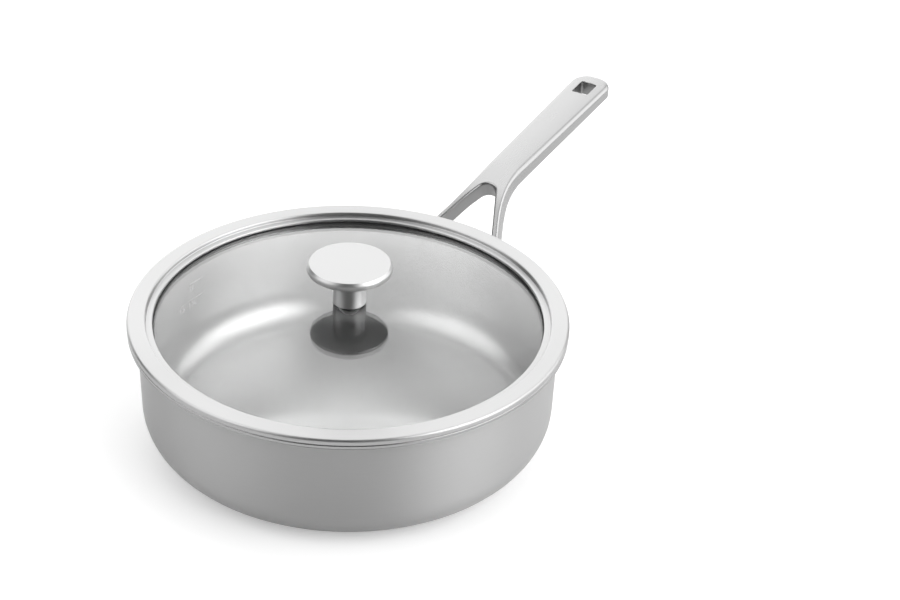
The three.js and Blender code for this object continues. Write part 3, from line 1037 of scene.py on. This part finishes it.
    def edge_radius(self, ends: Sequence[Vector]) -> float:
        """The radius that rounds an edge of the flat handle.

        Args:
            ends: The places of the edge's two ends.

        Returns:
            The radius, which is none for upright edges and for the feet's ends.
        """
        place = (ends[0] + ends[1]) / 2
        upright = abs(ends[0].z - ends[1].z) > self.thickness / 2
        if upright or place.x < self.root + self.root_margin:
            return 0.0
        if self.in_fork(place, self.crotch_margin):
            return self.fork_round
        full = self.shoulder_round if place.z > -self.thickness / 2 else self.under_round
        # The full radius is reached half a lead past the crotch, and the arms' half a lead before it
        grip = share((place.x - self.crotch) / self.arm_lead + 0.5)
        return self.arm_round + (full - self.arm_round) * grip

    def round_edges(self, handle: bpy.types.Object) -> None:
        """Rounds the outline by a wide shoulder above and less below, and the fork by a little.

        Args:
            handle: The flat, thickened handle.
        """
        points = handle.data.vertices
        weights = handle.data.attributes.new("bevel_weight_edge", "FLOAT", "EDGE")
        for edge in handle.data.edges:
            radius = self.edge_radius([points[i].co for i in edge.vertices])
            weights.data[edge.index].value = radius / self.shoulder_round
        Bench.modify(
            handle,
            "BEVEL",
            width=self.shoulder_round,
            segments=self.round_steps,
            limit_method="WEIGHT",
            use_clamp_overlap=False,
        )

    def bend(self, handle: bpy.types.Object) -> None:
        """Cuts the flat handle into strips and bends them along the side view.

        Args:
            handle: The flat, rounded handle, in edit mode.
        """
        count = int((self.tip - self.cut_lead - self.root) / self.cut_step)
        crosswise = [self.tip - self.cut_lead - self.cut_step * i for i in range(count + 1)]
        cuts = [((x, 0.0, 0.0), (1.0, 0.0, 0.0)) for x in crosswise]
        cuts += [((0.0, y, 0.0), (0.0, 1.0, 0.0)) for y in self.lengthwise_cuts]
        for place, normal in cuts:
            bpy.ops.mesh.select_all(action="SELECT")
            bpy.ops.mesh.bisect(plane_co=place, plane_no=normal, threshold=Bench.MERGE_DISTANCE)
        mesh = bmesh.from_edit_mesh(handle.data)
        for vertex in mesh.verts:
            vertex.co = self.bent(vertex.co)
        bmesh.update_edit_mesh(handle.data)
        bpy.ops.mesh.select_all(action="SELECT")
        bpy.ops.mesh.normals_make_consistent(inside=False)

    def cut_feet(self, handle: bpy.types.Object) -> None:
        """Cuts both arms off where they meet the wall.

        Args:
            handle: The bent handle, in edit mode.
        """
        angle = math.asin(self.foot_spread / self.wall_radius)
        for side in (1, -1):
            outward = Vector((math.cos(angle), side * math.sin(angle), 0.0))
            place = outward * (self.wall_radius + self.wall_gap)
            Bench.select(handle, Element.FACE, lambda f: f.calc_center_median().y * side > 0)
            bpy.ops.mesh.bisect(plane_co=place, plane_no=outward, clear_inner=True, use_fill=True)

    def hole_cutter(self) -> bpy.types.Object:
        """Makes the block that cuts the hanging hole, a little narrower below than above.

        Returns:
            The block, at the hole's place.
        """
        Bench.clear_selection()
        bpy.ops.mesh.primitive_cube_add(size=1.0)
        cutter = bpy.context.object
        cutter.scale = (self.hole_length, self.hole_width, 2 * self.thickness)
        bpy.ops.object.transform_apply(scale=True)
        bpy.ops.object.mode_set(mode="EDIT")
        tall = self.thickness
        Bench.select(cutter, Element.EDGE, lambda e: abs(e.verts[0].co.z - e.verts[1].co.z) > tall)
        bpy.ops.mesh.bevel(offset=self.hole_corner, segments=self.hole_corner_steps, affect="EDGES")
        Bench.select(cutter, Element.POINT, lambda v: v.co.z < 0)
        bpy.ops.transform.resize(value=(self.hole_draft, self.hole_draft, 1.0))
        bpy.ops.object.mode_set(mode="OBJECT")
        cutter.rotation_euler.y = -self.slope(self.hole_middle)
        cutter.location = (self.hole_middle, 0.0, self.top(self.hole_middle))
        bpy.ops.object.transform_apply(location=True, rotation=True)
        return cutter

    def on_rim(self, edge: bmesh.types.BMEdge) -> bool:
        """Whether both ends of an edge lie on the hanging hole's rim.

        Args:
            edge: An edge of the handle.

        Returns:
            Whether it lies on the rim.
        """
        reach_x = self.hole_length / 2 + self.rim_margin
        reach_y = self.hole_width / 2 + self.rim_margin
        places = [v.co for v in edge.verts]
        return all(abs(p.x - self.hole_middle) < reach_x and abs(p.y) < reach_y for p in places)

    def cut_hole(self, handle: bpy.types.Object) -> None:
        """Cuts the hanging hole and softens its rim.

        Args:
            handle: The bent handle.
        """
        Bench.cut(handle, self.hole_cutter())
        bpy.ops.object.mode_set(mode="EDIT")
        bpy.ops.mesh.select_mode(type="EDGE")
        bpy.ops.mesh.select_all(action="DESELECT")
        bpy.ops.mesh.edges_select_sharp(sharpness=self.rim_sharpness)
        Bench.select(handle, Element.EDGE, self.on_rim, keep=True)
        bpy.ops.mesh.bevel(offset=self.rim_round, segments=self.rim_steps, affect="EDGES")
        bpy.ops.object.mode_set(mode="OBJECT")


@dataclass
class Lid(SubAssembly):
    """The glass with its two rings and seal."""

    body: str = "lid"
    ring_sheet: float = 0.7 * MM
    skirt_sheet: float = 0.6 * MM
    skirt_shelf: float = 4.2 * MM
    hem_depth: float = 3.4 * MM
    band_corner: float = 1.7 * MM
    step_depth: float = 2.6 * MM
    edge_lift: float = 0.25 * MM
    ledge_width: float = 3.9 * MM
    step_round: float = 1.2 * MM
    step_fillet: float = 0.7 * MM
    ledge_round: float = 0.8 * MM
    bend_round: float = 0.3 * MM
    seal_wall: float = 1.2 * MM
    seal_shelf: float = 1.15 * MM
    glass_thickness: float = 4.0 * MM
    glass_rise: float = 11.55 * MM
    glass_edge_round: float = 1.0 * MM
    glass_hole: float = 4.0 * MM
    fit: float = 0.3 * MM
    rubber_fit: float = 0.15 * MM
    dome_steps: int = 24

    def __post_init__(self) -> None:
        """Takes the rings' and the glass's places from the frame."""
        low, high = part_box("lid_rim")
        self.band = high.x
        self.flange = high.z
        self.ledge_edge_bottom = low.z + self.edge_lift
        self.hem = self.flange - self.hem_depth
        skirt_low, skirt_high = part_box("lid_skirt")
        self.plate_top = skirt_high.z
        self.plate_edge = skirt_high.x
        self.shelf_bottom = skirt_low.z
        self.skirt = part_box("lid_gasket")[1].x + self.fit + self.skirt_sheet
        self.step_inner = self.skirt - self.skirt_sheet - self.fit - self.ring_sheet
        self.ledge_inner = self.step_inner - self.ledge_width
        self.ledge = self.flange - self.step_depth
        self.glass_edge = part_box("lid_glass")[1].x
        self.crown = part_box("lid_glass")[1].z - GLASS_SETTLE
        self.dome = (self.ledge_inner**2 + self.glass_rise**2) / (2 * self.glass_rise)

    def glass_top(self, r: float) -> float:
        """The height of the glass's upper face at a radius."""
        return self.crown - self.dome + math.sqrt(self.dome**2 - r**2)

    def glass_bottom(self, r: float) -> float:
        """The height of the glass's lower face at a radius."""
        return self.crown - self.dome + math.sqrt((self.dome - self.glass_thickness) ** 2 - r**2)

    def rim(self) -> list[Corner]:
        """The upper ring's section: hem, flange, step and ledge.

        Returns:
            The corners of its section.
        """
        sheet, soft = self.ring_sheet, self.ring_sheet / 3
        return [
            Corner(self.band - sheet, self.hem + self.band_corner),
            Corner(self.band - sheet, self.hem, soft),
            Corner(self.band, self.hem, soft),
            Corner(self.band, self.flange, self.band_corner),
            Corner(self.step_inner, self.flange, self.step_round),
            Corner(self.step_inner, self.ledge, self.step_fillet),
            Corner(self.ledge_inner, self.ledge, self.ledge_round),
            Corner(self.ledge_inner, self.ledge_edge_bottom, soft),
            Corner(self.ledge_inner + sheet, self.ledge_edge_bottom, soft),
            Corner(self.ledge_inner + sheet, self.ledge - sheet, self.bend_round / 2),
            Corner(self.step_inner + sheet, self.ledge - sheet, self.bend_round),
            Corner(self.step_inner + sheet, self.flange - sheet, self.bend_round / 2),
            Corner(self.band - sheet, self.flange - sheet, self.band_corner - sheet),
        ]

    def skirt_section(self) -> list[Corner]:
        """The lower ring's section: shelf, skirt and the plate that rests on the lip.

        Returns:
            The corners of its section.
        """
        sheet, soft, bend = self.skirt_sheet, self.skirt_sheet / 3, self.bend_round
        shelf_top = self.shelf_bottom + sheet
        inner = self.skirt - self.skirt_shelf
        return [
            Corner(inner, self.shelf_bottom + sheet / 2),
            Corner(inner, self.shelf_bottom, soft),
            Corner(self.skirt, self.shelf_bottom, bend + sheet),
            Corner(self.skirt, self.plate_top - sheet, bend),
            Corner(self.plate_edge, self.plate_top - sheet, soft),
            Corner(self.plate_edge, self.plate_top, soft),
            Corner(self.skirt - sheet, self.plate_top, bend + sheet),
            Corner(self.skirt - sheet, shelf_top, bend),
            Corner(inner, shelf_top, soft),
        ]

    def seal(self) -> list[Corner]:
        """The gasket's section: a channel round the edge of the glass.

        Returns:
            The corners of its section.
        """
        outer = self.skirt - self.skirt_sheet - self.fit
        inner = outer - self.seal_wall
        mouth = self.ledge_inner + self.fit
        top = self.ledge_edge_bottom - self.fit
        gap = self.rubber_fit
        bottom = self.glass_bottom(inner) - gap - self.seal_shelf
        soft = self.seal_shelf / 3
        return [
            Corner(mouth, self.glass_bottom(mouth) - gap - self.seal_shelf / 2),
            Corner(mouth, bottom, soft),
            Corner(outer, bottom, soft),
            Corner(outer, top, soft),
            Corner(mouth, top, soft),
            Corner(mouth, self.glass_top(mouth) + gap, soft),
            Corner(inner, self.glass_top(inner) + gap, soft),
            Corner(inner, self.glass_bottom(inner) - gap, soft),
            Corner(mouth, self.glass_bottom(mouth) - gap, soft / 2),
        ]

    def glass(self) -> list[Corner]:
        """The glass's section: a dome of even thickness with a hole in its middle.

        Returns:
            The corners of its section.
        """
        span = self.glass_edge - self.glass_hole
        radii = [self.glass_hole + span * i / self.dome_steps for i in range(self.dome_steps + 1)]
        rounds = [self.glass_edge_round / 3, *[0.0] * (self.dome_steps - 1), self.glass_edge_round]
        under = [Corner(r, self.glass_bottom(r), k) for r, k in zip(radii, rounds)]
        over = [Corner(r, self.glass_top(r), k) for r, k in zip(radii, rounds)]
        start = Corner(self.glass_hole, (under[0].y + over[0].y) / 2)
        return [start, *under, *reversed(over)]

    def build(self) -> None:
        """Models the rings, the seal and the glass."""
        plan = [
            Turning("lid_ring", "lid_rim", self.rim(), RING_STEEL),
            Turning("lid_lower_ring", "lid_skirt", self.skirt_section(), RING_STEEL),
            Turning("lid_seal", "lid_gasket", self.seal(), SEAL_RUBBER),
            Turning("lid_dome", "lid_glass", self.glass(), LID_GLASS),
        ]
        self.turn_pieces(plan, closed=True)


@dataclass
class Knob(SubAssembly):
    """The disc and stem, with the stack that draws them down on the glass."""

    body: str = "lid"
    top_round: float = 0.4 * MM
    top_drop: float = 0.25 * MM
    top_slope: float = 0.98
    band_set: float = 1.45 * MM
    band_drop: float = 1.9 * MM
    band_round: float = 2.4 * MM
    under_round: float = 0.9 * MM
    stem_round: float = 0.3 * MM
    washer_round: float = 0.2 * MM
    bore: float = 2.8 * MM
    shank: float = 2.5 * MM
    shank_gap: float = 0.3 * MM
    head_gap: float = 0.1 * MM
    head_round: float = 1.3 * MM
    recess_width: float = 1.1 * MM
    recess_length: float = 5.0 * MM
    recess_depth: float = 1.3 * MM

    @staticmethod
    def sizes(node: str) -> tuple[float, float, float]:
        """A round node's size, with all but the disc settled on the glass.

        Args:
            node: The node.

        Returns:
            Its radius, bottom and top.
        """
        low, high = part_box(node)
        settle = 0.0 if node == "knob_cap" else GLASS_SETTLE
        return high.x, low.z - settle, high.z - settle

    def disc(self) -> list[Corner]:
        """The section of the disc that the hand holds.

        Returns:
            The corners of its section.
        """
        radius, bottom, high = self.sizes("knob_cap")
        top = high - self.top_drop
        return [
            Corner(0.0, bottom),
            Corner(radius, bottom, self.under_round),
            Corner(radius, top - self.band_drop, self.band_round),
            Corner(radius - self.band_set, top, self.top_round),
            Corner(0.0, top),
        ]

    def stem(self) -> list[Corner]:
        """The section of the stem, with the blind hole for the screw.

        Returns:
            The corners of its section.
        """
        radius, bottom, high = self.sizes("knob_stem")
        top = high + GLASS_SETTLE
        hole_top = self.sizes("knob_screw")[2] + self.shank_gap
        return [
            Corner(0.0, hole_top),
            Corner(self.bore, hole_top),
            Corner(self.bore, bottom, self.washer_round),
            Corner(radius, bottom, self.stem_round),
            Corner(radius, top, self.stem_round),
            Corner(0.0, top),
        ]

    def washer(self, node: str) -> list[Corner]:
        """The section of a washer or sleeve round the screw.

        Args:
            node: The node that it stands for.

        Returns:
            The corners of its section.
        """
        radius, bottom, top = self.sizes(node)
        soft = min(self.washer_round, (top - bottom) / 3)
        return [
            Corner(self.bore, (bottom + top) / 2),
            Corner(self.bore, bottom, soft),
            Corner(radius, bottom, soft),
            Corner(radius, top, soft),
            Corner(self.bore, top, soft),
        ]

    def screw(self) -> bpy.types.Object:
        """Models the screw and presses the cross into its head.

        Returns:
            The screw.
        """
        radius, bottom, top = self.sizes("knob_screw")
        seat = self.sizes("knob_washer")[1] - self.head_gap
        section = [
            Corner(0.0, bottom),
            Corner(radius, bottom, self.head_round),
            Corner(radius, seat, self.washer_round),
            Corner(self.shank, seat),
            Corner(self.shank, top, self.stem_round),
            Corner(0.0, top),
        ]
        screw = Bench.turned("knob_fixing_screw", section, closed=False)
        for angle in (0.0, math.pi / 2):
            Bench.clear_selection()
            bpy.ops.mesh.primitive_cube_add(size=1.0, location=(0, 0, bottom))
            slot = bpy.context.object
            slot.scale = (self.recess_length, self.recess_width, 2 * self.recess_depth)
            slot.rotation_euler.z = angle
            bpy.ops.object.transform_apply(location=True, rotation=True, scale=True)
            Bench.cut(screw, slot)
        Bench.smooth(screw)
        return screw

    def build(self) -> None:
        """Models the disc, whose edge and underside are turned, the stem and the stack under them."""
        grip = [
            Turning("knob_disc", "knob_cap", self.disc(), KNOB_STEEL),
            Turning("knob_post", "knob_stem", self.stem(), STEM_STEEL),
        ]
        self.turn_pieces(grip, closed=False)
        self.add_finish(self.pieces[0], EDGE_STEEL, lambda face: face.normal.z <= self.top_slope)
        stack = [
            ("knob_top_seal", "knob_upper_seal", SEAL_RUBBER),
            ("knob_sleeve", "knob_bush", SEAL_RUBBER),
            ("knob_under_seal", "knob_lower_seal", SEAL_RUBBER),
            ("knob_steel_washer", "knob_washer", SCREW_STEEL),
        ]
        rings = [Turning(name, node, self.washer(node), finish) for name, node, finish in stack]
        self.turn_pieces(rings, closed=True)
        self.finish_piece(self.screw(), "knob_screw", SCREW_STEEL)


@dataclass
class Viewpoint:
    """The camera's place and aim, solved from the outlines of the round pieces."""

    handle_bearing: float = math.radians(58.373)
    distance: float = 1164.5 * MM
    elevation: float = math.radians(32.06)
    aim_height: float = 78.0 * MM
    yaw: float = math.radians(-2.8745)
    pitch: float = math.radians(0.369)
    roll: float = math.radians(-0.701)
    focal_pixels: float = 2001.6
    image_width: float = 900.0
    sensor: float = 36.0

    @property
    def away(self) -> Vector:
        """The level direction from the camera to the pan."""
        return Vector((math.sin(self.handle_bearing), math.cos(self.handle_bearing), 0.0))

    @property
    def right(self) -> Vector:
        """The level direction to the picture's right."""
        return Vector((math.cos(self.handle_bearing), -math.sin(self.handle_bearing), 0.0))

    def build(self) -> None:
        """Makes the scene's camera."""
        up = Vector((0.0, 0.0, 1.0))
        back = -self.away * math.cos(self.elevation) + up * math.sin(self.elevation)
        level = Matrix((self.right, back.cross(self.right), back)).transposed()
        turn = (
            Matrix.Rotation(self.roll, 3, "Z")
            @ Matrix.Rotation(-self.pitch, 3, "X")
            @ Matrix.Rotation(-self.yaw, 3, "Y")
        )
        data = bpy.data.cameras.new("photo_camera")
        data.sensor_width = self.sensor
        data.lens = self.focal_pixels / self.image_width * self.sensor
        camera = bpy.data.objects.new("photo_camera", data)
        place = back * self.distance + up * self.aim_height
        camera.matrix_world = Matrix.Translation(place) @ (level @ turn.transposed()).to_4x4()
        bpy.context.scene.collection.objects.link(camera)
        bpy.context.scene.camera = camera


class Glow(NamedTuple):
    """A soft bright patch of the surround.

    Its bearing from the far side of the pan, its elevation and the half angles where it starts to fade and
    where it has faded are in degrees. A strength of 1 is white.
    """

    bearing: float
    elevation: float
    full: float
    faded: float
    strength: float


@dataclass
class Studio:
    """The floor and the surrounding light."""

    view: Viewpoint
    floor_size: float = 8.0
    floor_tone: float = 0.76
    floor_roughness: float = 0.9
    floor_lift: float = 0.35
    mirrored_lift: float = 0.05
    surround: float = 0.09
    glows: tuple[Glow, ...] = (
        Glow(-6.0, 16.0, 20.0, 50.0, 1.9),
        Glow(-6.0, 58.0, 12.0, 42.0, 1.9),
        Glow(68.0, 28.0, 12.0, 36.0, 2.2),
        Glow(112.0, 34.0, 8.0, 42.0, 3.5),
        Glow(-100.0, 42.0, 4.0, 40.0, 2.0),
    )

    def build(self) -> None:
        """Makes the floor and the world."""
        self.floor()
        self.world()
        bpy.context.scene.view_settings.view_transform = "Standard"

    def floor(self) -> None:
        """Lays a plain pale floor that looks white away from the pan's shadow."""
        Bench.clear_selection()
        bpy.ops.mesh.primitive_plane_add(size=self.floor_size)
        floor = bpy.context.object
        floor.name = "studio_floor"
        material = bpy.data.materials.new("pale_floor")
        material.use_nodes = True
        sheet = NodeSheet(material.node_tree)
        path = sheet.add("ShaderNodeLightPath").outputs
        mirrored = sheet.math("MAXIMUM", path["Is Glossy Ray"], path["Is Transmission Ray"])
        lift = sheet.math("MULTIPLY", mirrored, self.mirrored_lift)
        looks = {
            "Base Color": grey(self.floor_tone),
            "Roughness": self.floor_roughness,
            "Specular IOR Level": 0.0,
            "Emission Color": WHITE,
            "Emission Strength": sheet.math("MULTIPLY_ADD", path["Is Camera Ray"], self.floor_lift, lift),
        }
        sheet.fill(material.node_tree.nodes["Principled BSDF"], looks)
        floor.data.materials.append(material)

    def towards(self, bearing: float, elevation: float) -> Vector:
        """A direction from the pan.

        Args:
            bearing: Its bearing from the far side of the pan, in degrees.
            elevation: Its elevation, in degrees.

        Returns:
            The direction, one unit long.
        """
        turn, rise = math.radians(bearing), math.radians(elevation)
        level = self.view.away * math.cos(turn) + self.view.right * math.sin(turn)
        return level * math.cos(rise) + Vector((0, 0, math.sin(rise)))

    def world(self) -> None:
        """Lights the surround with soft glows, white to the eye and dim between them."""
        world = bpy.data.worlds.new("studio")
        bpy.context.scene.world = world
        world.use_nodes = True
        sheet = NodeSheet(world.node_tree)
        direction = sheet.add("ShaderNodeTexCoord").outputs["Generated"]
        strength: float | bpy.types.NodeSocket = self.surround
        for glow in self.glows:
            aim = {0: direction, 1: self.towards(glow.bearing, glow.elevation)}
            near = sheet.add("ShaderNodeVectorMath", aim, operation="DOT_PRODUCT").outputs["Value"]
            fade = {
                "Value": near,
                "From Min": math.cos(math.radians(glow.faded)),
                "From Max": math.cos(math.radians(glow.full)),
                "To Max": glow.strength,
            }
            patch = sheet.add("ShaderNodeMapRange", fade, interpolation_type="SMOOTHSTEP").outputs[0]
            strength = sheet.math("MAXIMUM", patch, strength)
        eye = sheet.add("ShaderNodeLightPath").outputs["Is Camera Ray"]
        light = {"Color": WHITE, "Strength": sheet.math("MAXIMUM", strength, eye)}
        sheet.fill(world.node_tree.nodes["Background"], light)


def main() -> None:
    """Builds the pan, the lid and the studio in order, and reports each piece."""
    logging.basicConfig(level=logging.INFO, format="%(name)s: %(message)s")
    for part in (Vessel(), MeasuringScale(), Handle(), Lid(), Knob()):
        part.build()
        for piece in part.pieces:
            LOG.info("%s on %s: %d faces", piece.name, part.body, len(piece.data.polygons))
    view = Viewpoint()
    view.build()
    Studio(view).build()


if __name__ == "__main__":
    main()
